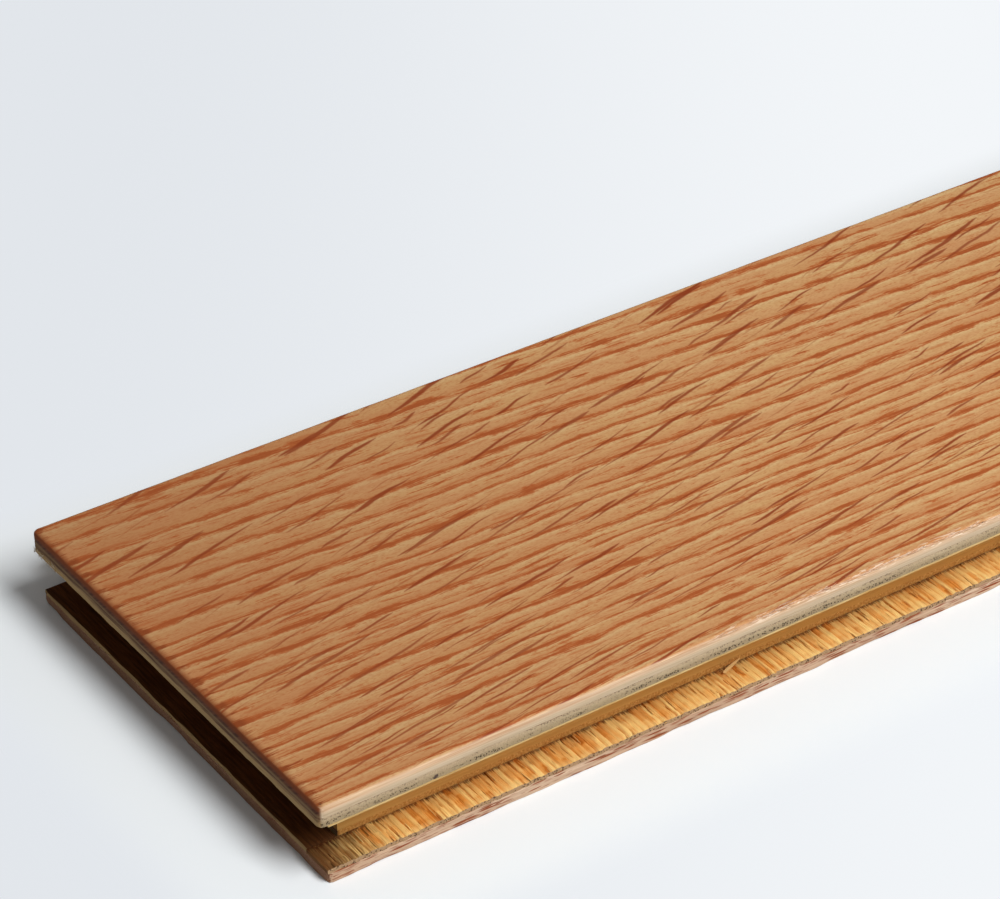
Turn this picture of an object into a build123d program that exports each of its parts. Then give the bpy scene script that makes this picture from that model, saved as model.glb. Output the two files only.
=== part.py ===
"""Engineered hardwood floorboard: five glued wood plies, profiled with a groove on one side and one end.

The board lies flat, face up. X runs along the grain of the face, from the grooved end to the tongued end. Y runs
from the grooved side to the tongued side. The origin is at the middle of the overall outline, on the underside.
"""

import os

from build123d import *

# Face of the board, in millimetres: 24 in long and 3 1/4 in wide
FACE_LENGTH = 609.6
FACE_WIDTH = 82.55

# Plies from the face down, about 9/16 in together: their grain runs along and across the board in turn
WEAR_THICKNESS = 2.1
UPPER_CROSSBAND_THICKNESS = 1.65
CORE_THICKNESS = 7.1
LOWER_CROSSBAND_THICKNESS = 1.6
BACKING_THICKNESS = 1.85

# Grooves: cut back from the face's edge under the upper crossband, and down into the lower one
SIDE_GROOVE_DEPTH = 5.8
END_GROOVE_DEPTH = 6.4
GROOVE_BITE_IN_CROSSBAND = 0.9
LOWER_LIP_END_SETBACK = 1.15

# Tongues: they leave play above and below in a neighbour's groove, and a gap for glue at its back wall
TONGUE_PLAY = 0.15
TONGUE_GLUE_GAP = 0.8
TONGUE_NOSE_CHAMFER = 1.2

# Arris of the face, eased so that neighbours lie without a sharp step
FACE_BEVEL = 0.35

# Heights of the glue lines, the groove and the tongue above the underside
LOWER_CROSSBAND_TOP = BACKING_THICKNESS + LOWER_CROSSBAND_THICKNESS
CORE_TOP = LOWER_CROSSBAND_TOP + CORE_THICKNESS
UPPER_CROSSBAND_TOP = CORE_TOP + UPPER_CROSSBAND_THICKNESS
FACE_TOP = UPPER_CROSSBAND_TOP + WEAR_THICKNESS
GROOVE_FLOOR = LOWER_CROSSBAND_TOP - GROOVE_BITE_IN_CROSSBAND
TONGUE_BOTTOM = GROOVE_FLOOR + TONGUE_PLAY
TONGUE_TOP = CORE_TOP - TONGUE_PLAY

# Plan lines, with the overall outline centred on the origin
SIDE_TONGUE_LENGTH = SIDE_GROOVE_DEPTH - TONGUE_GLUE_GAP
END_TONGUE_LENGTH = END_GROOVE_DEPTH - TONGUE_GLUE_GAP
OVERALL_LENGTH = FACE_LENGTH + END_TONGUE_LENGTH
OVERALL_WIDTH = FACE_WIDTH + SIDE_TONGUE_LENGTH
GROOVED_END_X = -OVERALL_LENGTH / 2
GROOVED_SIDE_Y = -OVERALL_WIDTH / 2

os.makedirs("parts", exist_ok=True)


def section_outline(grooved_edge, groove_depth, lower_lip_setback, face_size, tongue_length):
    """The corners of the board's section, with its groove on the left and its tongue on the right."""
    back_wall = grooved_edge + groove_depth
    lower_lip_edge = grooved_edge + lower_lip_setback
    shoulder = grooved_edge + face_size
    tongue_tip = shoulder + tongue_length
    return [
        (lower_lip_edge, 0),
        (shoulder, 0),
        (shoulder, TONGUE_BOTTOM),
        (tongue_tip, TONGUE_BOTTOM),
        (tongue_tip, TONGUE_TOP),
        (shoulder, TONGUE_TOP),
        (shoulder, FACE_TOP),
        (grooved_edge, FACE_TOP),
        (grooved_edge, CORE_TOP),
        (back_wall, CORE_TOP),
        (back_wall, GROOVE_FLOOR),
        (lower_lip_edge, GROOVE_FLOOR),
    ]


across_board = section_outline(GROOVED_SIDE_Y, SIDE_GROOVE_DEPTH, 0, FACE_WIDTH, SIDE_TONGUE_LENGTH)
along_board = section_outline(
    GROOVED_END_X, END_GROOVE_DEPTH, LOWER_LIP_END_SETBACK, FACE_LENGTH, END_TONGUE_LENGTH
)

# The pressed board after profiling: the section across it runs its whole length, and its ends are cut to the other
with BuildPart() as board:
    with BuildSketch(Plane.YZ.offset(GROOVED_END_X)):
        with BuildLine():
            Polyline(across_board, close=True)
        make_face()
    extrude(amount=OVERALL_LENGTH)
    with BuildSketch(Plane.XZ.offset(GROOVED_SIDE_Y)):
        with BuildLine():
            Polyline(along_board, close=True)
        make_face()
    extrude(amount=OVERALL_WIDTH, mode=Mode.INTERSECT)
    face_edges = board.faces().sort_by(Axis.Z)[-1].edges()
    chamfer(face_edges, length=FACE_BEVEL)
    side_nose_edges = board.faces().sort_by(Axis.Y)[-1].edges().filter_by(Axis.X)
    end_nose_edges = board.faces().sort_by(Axis.X)[-1].edges().filter_by(Axis.Y)
    chamfer(side_nose_edges + end_nose_edges, length=TONGUE_NOSE_CHAMFER)


def board_between(bottom, top):
    """Puts the slice of the board between two glue lines in the open part."""
    add(board.part)
    split(bisect_by=Plane.XY.offset(bottom), keep=Keep.TOP)
    split(bisect_by=Plane.XY.offset(top), keep=Keep.BOTTOM)


# Backing veneer: grain along the board, the outer layer of the grooves' lower lip
with BuildPart() as backing_veneer:
    board_between(0, BACKING_THICKNESS)
backing_veneer.part.label = "backing_veneer"
export_step(backing_veneer.part, "parts/backing_veneer.step")

# Lower crossband: grain across the board, the floor of the grooves and the lower skin of the tongues
with BuildPart() as lower_crossband:
    board_between(BACKING_THICKNESS, LOWER_CROSSBAND_TOP)
lower_crossband.part.label = "lower_crossband"
export_step(lower_crossband.part, "parts/lower_crossband.step")

# Core ply: grain along the board, the back wall of the grooves and the body of the tongues
with BuildPart() as core_ply:
    board_between(LOWER_CROSSBAND_TOP, CORE_TOP)
core_ply.part.label = "core_ply"
export_step(core_ply.part, "parts/core_ply.step")

# Upper crossband: grain across the board, the underside of the grooves' upper lip
with BuildPart() as upper_crossband:
    board_between(CORE_TOP, UPPER_CROSSBAND_TOP)
upper_crossband.part.label = "upper_crossband"
export_step(upper_crossband.part, "parts/upper_crossband.step")

# Wear layer: the hardwood face, grain along the board, with eased edges all round
with BuildPart() as wear_layer:
    board_between(UPPER_CROSSBAND_TOP, FACE_TOP)
wear_layer.part.label = "wear_layer"
export_step(wear_layer.part, "parts/wear_layer.step")
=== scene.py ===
"""The looks of an engineered oak floorboard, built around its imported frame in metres.

The sections follow the board as it is glued up and milled: the plies from the underside up, each with what
the cutters left on it, and then the stage that the board is seen on.
"""

import math

import bpy
import numpy as np
from mathutils import Euler, Matrix, Vector


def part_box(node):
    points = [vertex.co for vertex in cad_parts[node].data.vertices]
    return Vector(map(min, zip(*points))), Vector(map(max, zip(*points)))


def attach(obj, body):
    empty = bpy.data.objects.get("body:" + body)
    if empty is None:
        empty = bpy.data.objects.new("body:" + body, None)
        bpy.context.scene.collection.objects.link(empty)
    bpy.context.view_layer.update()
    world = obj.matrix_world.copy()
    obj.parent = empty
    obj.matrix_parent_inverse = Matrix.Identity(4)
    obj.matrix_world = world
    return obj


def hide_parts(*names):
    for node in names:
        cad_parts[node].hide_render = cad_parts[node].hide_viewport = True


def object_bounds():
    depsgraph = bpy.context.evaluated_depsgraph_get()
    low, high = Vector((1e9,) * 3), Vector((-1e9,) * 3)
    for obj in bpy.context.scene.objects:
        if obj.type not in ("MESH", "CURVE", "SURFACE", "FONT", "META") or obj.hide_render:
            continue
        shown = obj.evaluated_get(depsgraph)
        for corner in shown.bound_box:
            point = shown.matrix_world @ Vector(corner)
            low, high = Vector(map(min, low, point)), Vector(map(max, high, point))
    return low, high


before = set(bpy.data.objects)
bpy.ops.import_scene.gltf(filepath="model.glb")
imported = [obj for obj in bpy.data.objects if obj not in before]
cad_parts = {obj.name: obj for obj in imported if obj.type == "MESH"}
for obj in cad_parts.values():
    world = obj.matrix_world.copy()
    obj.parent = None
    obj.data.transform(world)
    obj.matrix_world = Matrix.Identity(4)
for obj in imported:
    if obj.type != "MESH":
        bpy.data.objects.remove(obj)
cad_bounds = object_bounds()


# Backing veneer
# The lowest ply is a pale pinkish veneer with its grain along the board and thin reddish dashes in it.
# It is glued under the lower crossband, and the mill that cut the board's edges has chipped its lower arris.

MM = 0.001
OUTWARD = {
    "grooved_side": (0, -1, 0),
    "tongued_side": (0, 1, 0),
    "grooved_end": (-1, 0, 0),
    "tongued_end": (1, 0, 0),
}


def soft_noise(u, v, seed):
    """Smooth random heights from -1 to 1, with a new value at each whole number of u and v."""
    cell_u = np.floor(u).astype(int)
    cell_v = np.floor(v).astype(int)
    column = cell_u - cell_u.min()
    row = cell_v - cell_v.min()
    table = np.random.default_rng(seed).uniform(-1, 1, (column.max() + 2, row.max() + 2))
    part_u = u - cell_u
    part_v = v - cell_v
    part_u = part_u * part_u * (3 - 2 * part_u)
    part_v = part_v * part_v * (3 - 2 * part_v)
    near = table[column, row] * (1 - part_u) + table[column + 1, row] * part_u
    far = table[column, row + 1] * (1 - part_u) + table[column + 1, row + 1] * part_u
    return near * (1 - part_v) + far * part_v


def lines(low, high, step, margin=0.9 * MM):
    """Grid lines from low to high about a step apart, with one more a margin inside each end."""
    count = max(int(round((high - low) / step)), 1)
    inner = np.linspace(low + margin, high - margin, count + 1)
    return np.concatenate([[low], inner, [high]])


class Block:
    """A closed block of quads on a grid of lines, with eased edges, whose points can still be moved.

    The bottom and the top are heights, one for all or one for each crossing of the lines. Two lines at one
    place make an upright step where the heights change. The ends have a share of the sides' easing.
    """

    def __init__(self, xs, ys, bottom, top, ease_bottom, ease_top, end_share=1.0):
        bottom = np.broadcast_to(bottom, (len(xs), len(ys)))[..., None]
        top = np.broadcast_to(top, (len(xs), len(ys)))[..., None]
        arc = np.radians([0, 30, 60, 90])
        foot = bottom + ease_bottom * (1 - np.sin(arc[::-1]))
        head = top - ease_top * (1 - np.sin(arc))
        share = np.array([1, 2]) / 3
        waist = foot[..., -1:] * (1 - share) + head[..., :1] * share
        z = np.concatenate([foot, waist, head], -1)
        x = np.broadcast_to(np.asarray(xs)[:, None, None], z.shape)
        y = np.broadcast_to(np.asarray(ys)[None, :, None], z.shape)
        outer = np.zeros(z.shape, bool)
        outer[[0, -1], :, :] = True
        outer[:, [0, -1], :] = True
        outer[:, :, [0, -1]] = True
        number = np.full(z.shape, -1)
        number[outer] = np.arange(outer.sum())
        self.points = np.stack([x[outer], y[outer], z[outer]], 1)
        self.flat = self.points.copy()
        column, row, level = np.nonzero(outer)
        self.edge = {
            "grooved_side": row == 0,
            "tongued_side": row == len(ys) - 1,
            "grooved_end": column == 0,
            "tongued_end": column == len(xs) - 1,
        }
        self.top = level == z.shape[2] - 1
        self.bottom = level == 0
        self.marks = {}
        self.quads = {
            "top": number[:, :, -1],
            "bottom": number[:, ::-1, 0],
            "grooved_side": number[:, 0, :],
            "tongued_side": number[::-1, -1, :],
            "grooved_end": number[0, ::-1, :],
            "tongued_end": number[-1, :, :],
        }
        eased_in = [ease_bottom * (1 - np.cos(arc[::-1])), 0 * share, ease_top * (1 - np.cos(arc))]
        inset = np.concatenate(eased_in)[level]
        for side in OUTWARD:
            self.push(side, -inset * (1.0 if side.endswith("side") else end_share))

    def push(self, side, distance):
        """Moves the points of an upright side outwards by a distance, or by one distance for each point."""
        chosen = self.edge[side]
        self.points[chosen] += np.outer(np.broadcast_to(distance, chosen.shape)[chosen], OUTWARD[side])

    def along(self, side):
        """How far each point lies along a side, in metres."""
        return self.flat[:, 0] if side.endswith("side") else self.flat[:, 1]


def roughen(block, depth, length, height, seed):
    """Moves the upright sides in by up to a depth, in patches of about that length and height."""
    for turn, side in enumerate(OUTWARD):
        u = block.along(side) / length
        v = block.flat[:, 2] / height
        coarse = soft_noise(u, v, seed + turn)
        fine = soft_noise(u * 3.1, v * 1.7, seed + 10 + turn)
        block.push(side, -depth * (0.5 + 0.32 * coarse + 0.18 * fine))


def chip(block, sides, edge, depth, reach, length, share, seed, span=(-1, 1)):
    """Breaks the top or bottom arris of some sides away, over a share of their length within a span."""
    height = block.flat[:, 2]
    from_edge = height.max() - height if edge == "top" else height - height.min()
    near = np.clip(1 - from_edge / reach, 0, 1)
    bare = block.marks.setdefault("bare", np.zeros(len(height)))
    for turn, side in enumerate(sides):
        place = block.along(side)
        broken = np.clip(soft_noise(place / length, 0 * place, seed + turn) - 1 + 2 * share, 0, 1)
        ragged = 0.7 + 0.3 * soft_noise(place / length * 6, 0 * place, seed + 20 + turn)
        loss = near * ragged * np.minimum(broken * 3, 1) * (place > span[0]) * (place < span[1])
        block.push(side, -depth * loss)
        bare[:] = np.maximum(bare, loss * block.edge[side])


def soften_corners(block, depth, sides=("grooved_side", "tongued_side")):
    """Moves the upright corners at some sides in by a depth each way, as handling has rounded them."""
    for end in ("grooved_end", "tongued_end"):
        for side in sides:
            corner = block.edge[end] & block.edge[side]
            block.points[corner] -= depth * (np.array(OUTWARD[end]) + OUTWARD[side])


def fray(block, side, depth, reach, length, seed):
    """Tears the lower arris of a side upwards, so that its fibres end at uneven heights."""
    place = block.along(side) / length
    inward = np.abs(block.flat - block.flat[block.edge[side]][0]) @ np.abs(OUTWARD[side])
    torn = 0.5 + 0.35 * soft_noise(place, 0 * place, seed) + 0.15 * soft_noise(place * 4, 0 * place, seed + 1)
    near = np.clip(1 - inward / reach, 0, 1)
    block.points[:, 2] += np.where(block.bottom, depth * torn * near, 0)


def make_piece(name, blocks, material, shown, node=None):
    """Joins blocks into one piece, with a colour map that gives each shown side its rows and height."""
    points = []
    faces = []
    places = []
    strips = []
    first = 0
    for block in blocks:
        for side, quads in block.quads.items():
            rows, share = shown.get(side, (1, 0.01))
            cuts = np.linspace(0, quads.shape[0] - 1, rows + 1).round().astype(int)
            for start, stop in zip(cuts[:-1], cuts[1:]):
                strips.append((quads[start:stop + 1] + first, share))
        points.append(block.points)
        first += len(block.points)
    total = sum(share for strip, share in strips)
    bottom = 0.0
    for strip, share in strips:
        corners = np.stack([strip[:-1, :-1], strip[1:, :-1], strip[1:, 1:], strip[:-1, 1:]], -1)
        height = share / total
        u = np.linspace(0.002, 0.998, strip.shape[0])
        v = np.linspace(bottom + 0.04 * height, bottom + 0.96 * height, strip.shape[1])
        spot = np.stack(np.meshgrid(u, v, indexing="ij"), -1)
        map_corners = np.stack([spot[:-1, :-1], spot[1:, :-1], spot[1:, 1:], spot[:-1, 1:]], -2)
        faces.append(corners.reshape(-1, 4))
        places.append(map_corners.reshape(-1, 2))
        bottom += height
    mesh = bpy.data.meshes.new(name)
    mesh.from_pydata(np.concatenate(points).tolist(), [], np.concatenate(faces).tolist())
    bake_map = mesh.uv_layers.new(name="OFBake")
    bake_map.data.foreach_set("uv", np.concatenate(places).astype(np.float32).ravel())
    for mark in blocks[0].marks:
        values = np.concatenate([block.marks.get(mark, np.zeros(len(block.points))) for block in blocks])
        layer = mesh.attributes.new(mark, "FLOAT", "POINT")
        layer.data.foreach_set("value", values.astype(np.float32))
    mesh.shade_smooth()
    mesh.set_sharp_from_angle(angle=math.radians(50))
    mesh.materials.append(material)
    return add_piece(name, mesh, node)


def add_piece(name, mesh, node):
    """Puts a finished mesh on the board, in the place of a node if one is named."""
    piece = bpy.data.objects.new(name, mesh)
    bpy.context.scene.collection.objects.link(piece)
    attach(piece, "root")
    if node:
        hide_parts(node)
    return piece


def srgb(red, green, blue):
    """A colour as it looks on a screen, from 0 to 255, as the shader's linear colour."""
    shares = np.array([red, green, blue]) / 255
    linear = np.where(shares > 0.04045, ((shares + 0.055) / 1.055) ** 2.4, shares / 12.92)
    return (*linear.tolist(), 1.0)


def fill_inputs(tree, made, values):
    """Links or sets a node's inputs by name or number."""
    for key, value in values.items():
        if isinstance(value, bpy.types.NodeSocket):
            tree.links.new(value, made.inputs[key])
        else:
            made.inputs[key].default_value = value


def add_node(tree, kind, values, **options):
    """Adds a node with its options and its inputs."""
    made = tree.nodes.new(kind)
    for option, choice in options.items():
        setattr(made, option, choice)
    fill_inputs(tree, made, values)
    return made


def calc(tree, operation, *values):
    """The result of a sum on numbers."""
    return add_node(tree, "ShaderNodeMath", dict(enumerate(values)), operation=operation).outputs[0]


def vector_calc(tree, operation, *values):
    """The result of a sum on vectors."""
    return add_node(tree, "ShaderNodeVectorMath", dict(enumerate(values)), operation=operation).outputs[0]


def vector_of(tree, *values):
    """A vector of up to three numbers."""
    return add_node(tree, "ShaderNodeCombineXYZ", dict(enumerate(values))).outputs[0]


def axes_of(tree, vector):
    """The three numbers of a vector."""
    return add_node(tree, "ShaderNodeSeparateXYZ", {0: vector}).outputs


def fade(tree, value, start, end):
    """A mask that rises softly from 0 at start to 1 at end."""
    ends = {"Value": value, "From Min": start, "From Max": end}
    return add_node(tree, "ShaderNodeMapRange", ends, interpolation_type="SMOOTHSTEP").outputs["Result"]


def tint(tree, mask, share, under, over):
    """One colour laid over another with that share of its strength where the mask is 1."""
    strength = calc(tree, "MULTIPLY", mask, share)
    return add_node(tree, "ShaderNodeMix", {0: strength, 6: under, 7: over}, data_type="RGBA").outputs[2]


def patches(tree, place, stretch, detail=2.0):
    """Soft random values around a half, in patches of that many millimetres each way."""
    scaled = vector_calc(tree, "DIVIDE", place, stretch)
    values = {"Vector": scaled, "Scale": 1.0, "Detail": detail, "Roughness": 0.55}
    return add_node(tree, "ShaderNodeTexNoise", values).outputs[0]


def start_group(name, inputs, output):
    """A shader node group with a vector input called Place, named numbers and one output."""
    group = bpy.data.node_groups.new(name, "ShaderNodeTree")
    group.interface.new_socket("Place", in_out="INPUT", socket_type="NodeSocketVector")
    for label, value in inputs.items():
        group.interface.new_socket(label, in_out="INPUT", socket_type="NodeSocketFloat").default_value = value
    group.interface.new_socket(output, in_out="OUTPUT", socket_type="NodeSocketFloat")
    return group, group.nodes.new("NodeGroupInput").outputs, group.nodes.new("NodeGroupOutput").inputs[output]


def use_group(tree, group, place, **sizes):
    """Places a group in a material with its own sizes."""
    made = tree.nodes.new("ShaderNodeGroup")
    made.node_tree = group
    named = {label.replace("_", " ").title(): value for label, value in sizes.items()}
    fill_inputs(tree, made, {"Place": place, **named})
    return made.outputs[0]


def shifted_cells(group, given, offset):
    """The place measured in cells of the group's Length and Width, moved by its Seed."""
    size = vector_of(group, given["Length"], given["Width"], given["Width"])
    scaled = vector_calc(group, "DIVIDE", given["Place"], size)
    seeds = vector_of(group, given["Seed"], given["Seed"], given["Seed"])
    return vector_calc(group, "MULTIPLY_ADD", seeds, offset, scaled)


def make_fibre_group():
    """Streaks of the wood's fibres along X."""
    group, given, streak = start_group("wood fibres", {"Length": 8, "Width": 0.3, "Seed": 0}, "Streak")
    cells = shifted_cells(group, given, (13.1, 7.3, 3.9))
    values = {"Vector": cells, "Scale": 1.0, "Detail": 3.0, "Roughness": 0.6}
    noise = add_node(group, "ShaderNodeTexNoise", values).outputs[0]
    group.links.new(fade(group, noise, 0.28, 0.72), streak)
    return group


def make_pore_group():
    """Pores of the wood as thin spindles along X: dots on a cross cut and dashes on a long cut."""
    sizes = {"Length": 4, "Width": 0.4, "Fullness": 0.35, "Seed": 0}
    group, given, pore = start_group("wood pores", sizes, "Pore")
    values = {"Vector": shifted_cells(group, given, (5.3, 11.7, 8.1)), "Scale": 1.0}
    cells = add_node(group, "ShaderNodeTexVoronoi", values)
    chance = add_node(group, "ShaderNodeSeparateColor", {0: cells.outputs["Color"]}).outputs[0]
    reach = calc(group, "MULTIPLY", calc(group, "MULTIPLY_ADD", chance, 0.8, 0.2), given["Fullness"])
    share = calc(group, "DIVIDE", cells.outputs["Distance"], reach)
    group.links.new(fade(group, share, 1.0, 0.55), pore)
    return group


wood_fibres = make_fibre_group()
wood_pores = make_pore_group()

RAW_SPECULAR = 0.08


def start_wood(name, roughness):
    """A wood material: its tree, the place in millimetres and how far each face looks along each axis."""
    material = bpy.data.materials.new(name)
    material.use_nodes = True
    tree = material.node_tree
    tree.nodes["Principled BSDF"].inputs["Roughness"].default_value = roughness
    tree.nodes["Principled BSDF"].inputs["Specular IOR Level"].default_value = RAW_SPECULAR
    coordinates = tree.nodes.new("ShaderNodeTexCoord").outputs
    place = vector_calc(tree, "DIVIDE", coordinates["Object"], (MM, MM, MM))
    facing = axes_of(tree, vector_calc(tree, "ABSOLUTE", coordinates["Normal"]))
    return material, tree, place, facing


def finish_wood(tree, colour, height, depth):
    """Gives the shader its colour and a fine relief, where a height of 1 is a depth in millimetres."""
    shader = tree.nodes["Principled BSDF"]
    tree.links.new(colour, shader.inputs["Base Color"])
    relief = add_node(tree, "ShaderNodeBump", {"Height": height, "Distance": depth * MM, "Strength": 1.0})
    tree.links.new(relief.outputs["Normal"], shader.inputs["Normal"])


def make_backing_wood():
    """Pale pinkish wood with fibres and reddish dashes along the board, browner where its ends are cut."""
    material, tree, place, facing = start_wood("backing_wood", 0.72)
    broad = fade(tree, patches(tree, place, (60, 9, 9)), 0.3, 0.7)
    fibres = use_group(tree, wood_fibres, place, length=9, width=0.25, seed=1)
    dashes = use_group(tree, wood_pores, place, length=5, width=0.42, fullness=0.64, seed=2)
    fine_dashes = use_group(tree, wood_pores, place, length=2.6, width=0.3, fullness=0.66, seed=14)
    end = fade(tree, facing[0], 0.45, 0.8)
    colour = tint(tree, broad, 1.0, srgb(216, 188, 160), srgb(194, 158, 128))
    colour = tint(tree, fibres, 0.6, colour, srgb(170, 132, 106))
    colour = tint(tree, fine_dashes, 0.75, colour, srgb(152, 98, 72))
    colour = tint(tree, dashes, 1.0, colour, srgb(144, 78, 48))
    colour = tint(tree, end, 0.8, colour, srgb(122, 82, 58))
    height = calc(tree, "SUBTRACT", calc(tree, "MULTIPLY", fibres, 0.5), dashes)
    finish_wood(tree, colour, height, 0.06)
    return material


backing_low, backing_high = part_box("backing_veneer")
backing = Block(
    lines(backing_low[0], backing_high[0], 1.0 * MM),
    lines(backing_low[1], backing_high[1], 2.4 * MM),
    backing_low[2], backing_high[2], 0.18 * MM, 0.06 * MM,
)
roughen(backing, 0.22 * MM, 5 * MM, 0.8 * MM, 11)
chip(backing, list(OUTWARD), "bottom", 0.4 * MM, 0.6 * MM, 9 * MM, 0.3, 41)
soften_corners(backing, 0.2 * MM)
make_piece(
    "backing_veneer_ply",
    [backing],
    make_backing_wood(),
    {"bottom": (2, 0.4), "grooved_side": (2, 0.05), "tongued_side": (2, 0.05)},
    "backing_veneer",
)


# Lower crossband
# A veneer with its grain across the board, glued between the backing and the core. Beside the long groove it
# is torn, beside the end groove it is cut along its fibres, and at the other two edges it is the skin under
# the tongues.

LIP_TOP = 2.55 * MM
TONGUE_UNDERSIDE = 2.7 * MM
LOWER_SPECK_HEIGHT = 2.2
LOWER_GOLDEN_FROM = 1.5
lower_low, lower_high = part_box("lower_crossband")
core_low, core_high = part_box("core_ply")


def make_crossband_wood(name, seed, speck_height, golden_above, knot=None):
    """Greyish wood with its grain across the board, and its cut pores as black specks about a height.

    Above another height its cut fibres have the core's golden colour, except on the end's lip, and a dark pin
    knot may show at one place. The heights and the place are in millimetres.
    """
    material, tree, place, facing = start_wood(name, 0.75)
    axes = axes_of(tree, place)
    turned = vector_of(tree, axes[1], axes[0], axes[2])
    fibres = use_group(tree, wood_fibres, turned, length=7, width=0.4, seed=seed)
    pores = use_group(tree, wood_pores, turned, length=3, width=0.3, fullness=0.68, seed=seed + 1)
    clusters = fade(tree, patches(tree, place, (5, 30, 1.2)), 0.3, 0.6)
    off_specks = calc(tree, "ABSOLUTE", calc(tree, "SUBTRACT", axes[2], speck_height))
    off_upper_specks = calc(tree, "ABSOLUTE", calc(tree, "SUBTRACT", axes[2], speck_height + 0.95))
    sparse = calc(tree, "MULTIPLY", fade(tree, off_upper_specks, 0.35, 0.1), 0.5)
    row = calc(tree, "MULTIPLY", clusters, calc(tree, "MAXIMUM", fade(tree, off_specks, 0.5, 0.1), sparse))
    specks = calc(tree, "MULTIPLY", pores, calc(tree, "MULTIPLY_ADD", row, 0.9, 0.1))
    upper_part = fade(tree, axes[2], speck_height - 0.1, speck_height + 1.0)
    side = tint(tree, upper_part, 1.0, srgb(166, 146, 112), srgb(188, 166, 134))
    side_fibres = use_group(tree, wood_fibres, place, length=9, width=0.35, seed=seed + 2)
    side = tint(tree, side_fibres, 0.3, side, srgb(158, 128, 100))
    side = tint(tree, row, 0.4, side, srgb(142, 122, 96))
    side = tint(tree, specks, 0.95, side, srgb(60, 46, 36))
    if knot:
        ends = {0: place, 1: knot}
        from_knot = add_node(tree, "ShaderNodeVectorMath", ends, operation="DISTANCE").outputs["Value"]
        from_knot = calc(tree, "MULTIPLY_ADD", fibres, 0.3, from_knot)
        side = tint(tree, fade(tree, from_knot, 0.75, 0.35), 0.85, side, srgb(58, 40, 48))
    # Painted shade: the planed faces, seen inside the grooves, are very dark brown, and the end lip takes
    # this in place of the golden colour.
    planed_in_painted_shade = tint(tree, fibres, 1.0, srgb(108, 66, 34), srgb(70, 40, 20))
    golden = tint(tree, fibres, 1.0, srgb(222, 170, 96), srgb(188, 126, 62))
    on_end_lip = fade(tree, axes[0], core_low[0] / MM + 0.4, core_low[0] / MM - 0.2)
    golden = tint(tree, on_end_lip, 1.0, golden, planed_in_painted_shade)
    side = tint(tree, fade(tree, axes[2], golden_above - 0.15, golden_above + 0.25), 1.0, side, golden)
    torn_end = tint(tree, fibres, 1.0, srgb(124, 94, 68), srgb(82, 56, 42))
    ragged_height = calc(tree, "MULTIPLY_ADD", fibres, 0.4, axes[2])
    tan_edge = fade(tree, ragged_height, speck_height + 1.1, speck_height + 0.3)
    torn_end = tint(tree, tan_edge, 0.75, torn_end, srgb(168, 138, 92))
    colour = tint(tree, fade(tree, facing[1], 0.45, 0.8), 1.0, planed_in_painted_shade, side)
    colour = tint(tree, fade(tree, facing[0], 0.45, 0.8), 1.0, colour, torn_end)
    height = calc(tree, "SUBTRACT", calc(tree, "MULTIPLY", fibres, 0.6), specks)
    finish_wood(tree, colour, height, 0.08)
    return material


under_end_tongue = lines(backing_high[0], lower_high[0], 2 * MM)
under_side_tongue = lines(backing_high[1], lower_high[1], 2 * MM)
lower_xs = np.concatenate([lines(core_low[0], backing_high[0], 3 * MM), under_end_tongue])
lower_ys = np.concatenate([lines(core_low[1], backing_high[1], 2 * MM), under_side_tongue])
past_end = np.arange(len(lower_xs)) >= len(lower_xs) - len(under_end_tongue)
past_side = np.arange(len(lower_ys)) >= len(lower_ys) - len(under_side_tongue)
lower = Block(
    lower_xs, lower_ys,
    np.where(past_end[:, None] | past_side[None, :], TONGUE_UNDERSIDE, lower_low[2]),
    lower_high[2], 0.02 * MM, 0.02 * MM,
)
skin_rise = np.clip(lower.flat[:, 2], TONGUE_UNDERSIDE, None) - lower_high[2]
lower.push("tongued_side", skin_rise)
lower.push("tongued_end", skin_rise)
end_lip = Block(
    lines(lower_low[0], core_low[0], 0.6 * MM, 0.3 * MM),
    lines(core_low[1], backing_high[1], 0.8 * MM),
    lower_low[2], LIP_TOP, 0.02 * MM, 0.12 * MM,
)
roughen(end_lip, 0.3 * MM, 5 * MM, 0.6 * MM, 31)
soften_corners(end_lip, 0.45 * MM, ["tongued_side"])
make_piece(
    "lower_crossband_ply",
    [lower, end_lip],
    make_crossband_wood("lower_crossband_wood", 3, LOWER_SPECK_HEIGHT, LOWER_GOLDEN_FROM),
    {"top": (1, 0.1), "bottom": (1, 0.1), "grooved_end": (1, 0.1), "tongued_side": (3, 0.1)},
    "lower_crossband",
)


# Torn groove floor
# Along the long groove the cutter ran into the lower crossband across its grain. It tore the fibres out in
# bundles, so the floor is a row of ragged ridges, orange in the hollows and pale at the tips.


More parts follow.
